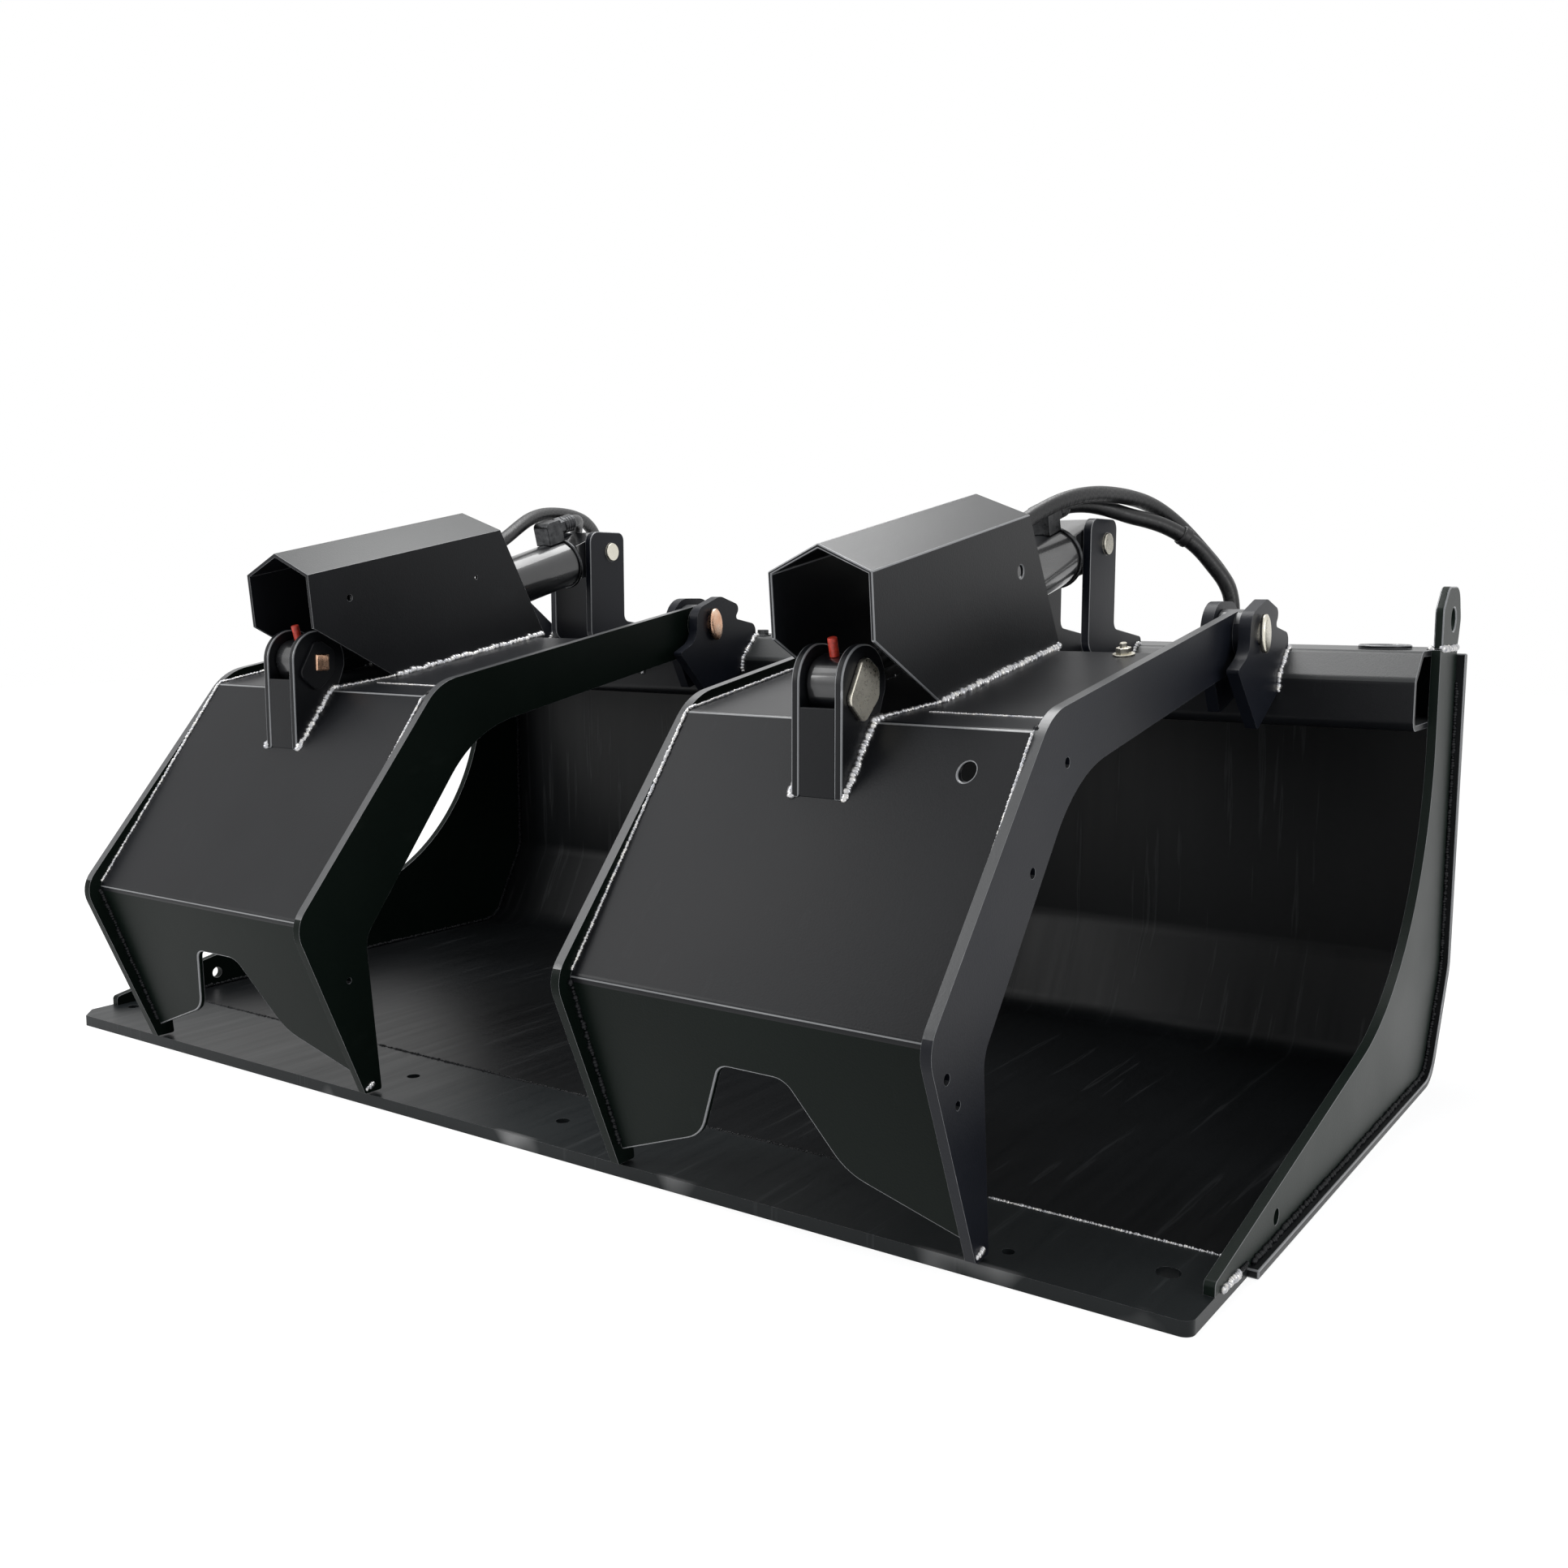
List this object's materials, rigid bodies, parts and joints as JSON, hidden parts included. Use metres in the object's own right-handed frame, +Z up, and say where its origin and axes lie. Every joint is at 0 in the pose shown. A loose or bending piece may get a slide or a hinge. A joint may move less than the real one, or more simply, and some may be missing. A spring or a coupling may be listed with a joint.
{
  "type": "wood grapple bucket",
  "caption": "Skid steer bucket with a bent shell, low side plates and two hydraulic grapple claws that close over the load from hinges on the top rail.",
  "frame": {"origin": "on the ground under the middle of the shell's depth and width, at its flat underside", "axes": "+X to the right seen from the mouth, +Y from the cutting edge to the coupler, +Z up"},
  "size_m": [1.854, 1.2105, 0.8268],
  "materials": {
    "powder_coat": "satin black powder coat, fine orange peel, bright weld beads",
    "cylinder_paint": "smooth semi-gloss black paint",
    "rod_chrome": "hard chrome, polished",
    "pin_steel": "zinc passivated steel",
    "pin_copper": "bare turned pin face with a warm oil film",
    "hose_rubber": "matt black hydraulic hose",
    "grease_red": "red cap on the grease nipple",
    "fitting_steel": "black zinc fittings"
  },
  "bodies": {
    "bucket": {"attach_plate": "powder_coat", "attach_ribs": "powder_coat", "bucket_shell": "powder_coat", "cutting_edge": "powder_coat", "left_base_hose": "hose_rubber", "left_hinge_ears": "powder_coat", "left_hinge_pins": "pin_copper", "left_hose_fittings": "fitting_steel", "left_lifting_lug": "powder_coat", "left_mast": "powder_coat", "left_mast_pin": "pin_steel", "left_rod_hose": "hose_rubber", "left_side_plate": "powder_coat", "rail_collars": "powder_coat", "right_base_hose": "hose_rubber", "right_hinge_ears": "powder_coat", "right_hinge_pins": "pin_steel", "right_hose_fittings": "fitting_steel", "right_lifting_lug": "powder_coat", "right_mast": "powder_coat", "right_mast_pin": "pin_steel", "right_rod_hose": "hose_rubber", "right_side_plate": "powder_coat", "top_rail": "powder_coat"},
    "left_claw": {"left_claw_cover": "powder_coat", "left_claw_left_plate": "powder_coat", "left_claw_right_plate": "powder_coat", "left_hood": "powder_coat", "left_lug_floor": "powder_coat", "left_rod_lugs": "powder_coat", "left_rod_pin": "pin_copper"},
    "left_cylinder": {"left_barrel": "cylinder_paint", "left_base_eye": "cylinder_paint", "left_gland": "cylinder_paint", "left_ports": "fitting_steel"},
    "left_ram": {"left_grease_cap": "grease_red", "left_piston": "cylinder_paint", "left_rod": "rod_chrome", "left_rod_eye": "cylinder_paint"},
    "right_claw": {"right_claw_cover": "powder_coat", "right_claw_left_plate": "powder_coat", "right_claw_right_plate": "powder_coat", "right_hood": "powder_coat", "right_lug_floor": "powder_coat", "right_rod_lugs": "powder_coat", "right_rod_pin": "pin_steel"},
    "right_cylinder": {"right_barrel": "cylinder_paint", "right_base_eye": "cylinder_paint", "right_gland": "cylinder_paint", "right_ports": "fitting_steel"},
    "right_ram": {"right_grease_cap": "grease_red", "right_piston": "cylinder_paint", "right_rod": "rod_chrome", "right_rod_eye": "cylinder_paint"}
  },
  "joints": [
    {"name": "left_claw_hinge", "type": "hinge", "parent": "bucket", "child": "left_claw", "pos_m": [-0.456, 0.215, 0.628], "axis": [-1, 0, 0], "range_deg": [0, 50]},
    {"name": "left_cylinder_swing", "type": "hinge", "parent": "bucket", "child": "left_cylinder", "pos_m": [-0.456, 0.216, 0.749], "axis": [-1, 0, 0], "range_deg": [0, 51], "deforming": ["left_rod_hose", "left_base_hose"]},
    {"name": "left_ram_slide", "type": "slide", "parent": "left_cylinder", "child": "left_ram", "axis": [0, -0.9656, -0.2602], "range_m": [-0.102, 0]},
    {"name": "right_claw_hinge", "type": "hinge", "parent": "bucket", "child": "right_claw", "pos_m": [0.456, 0.215, 0.628], "axis": [-1, 0, 0], "range_deg": [0, 50]},
    {"name": "right_cylinder_swing", "type": "hinge", "parent": "bucket", "child": "right_cylinder", "pos_m": [0.456, 0.216, 0.749], "axis": [-1, 0, 0], "range_deg": [0, 51], "deforming": ["right_rod_hose", "right_base_hose"]},
    {"name": "right_ram_slide", "type": "slide", "parent": "right_cylinder", "child": "right_ram", "axis": [0, -0.9656, -0.2602], "range_m": [-0.102, 0]}
  ],
  "couplings": [
    {"joint": "left_cylinder_swing", "follows": "left_claw_hinge", "ratio": 1.0188},
    {"joint": "left_ram_slide", "follows": "left_claw_hinge", "m_per_rad": -0.11659},
    {"joint": "right_cylinder_swing", "follows": "right_claw_hinge", "ratio": 1.0188},
    {"joint": "right_ram_slide", "follows": "right_claw_hinge", "m_per_rad": -0.11659}
  ]
}
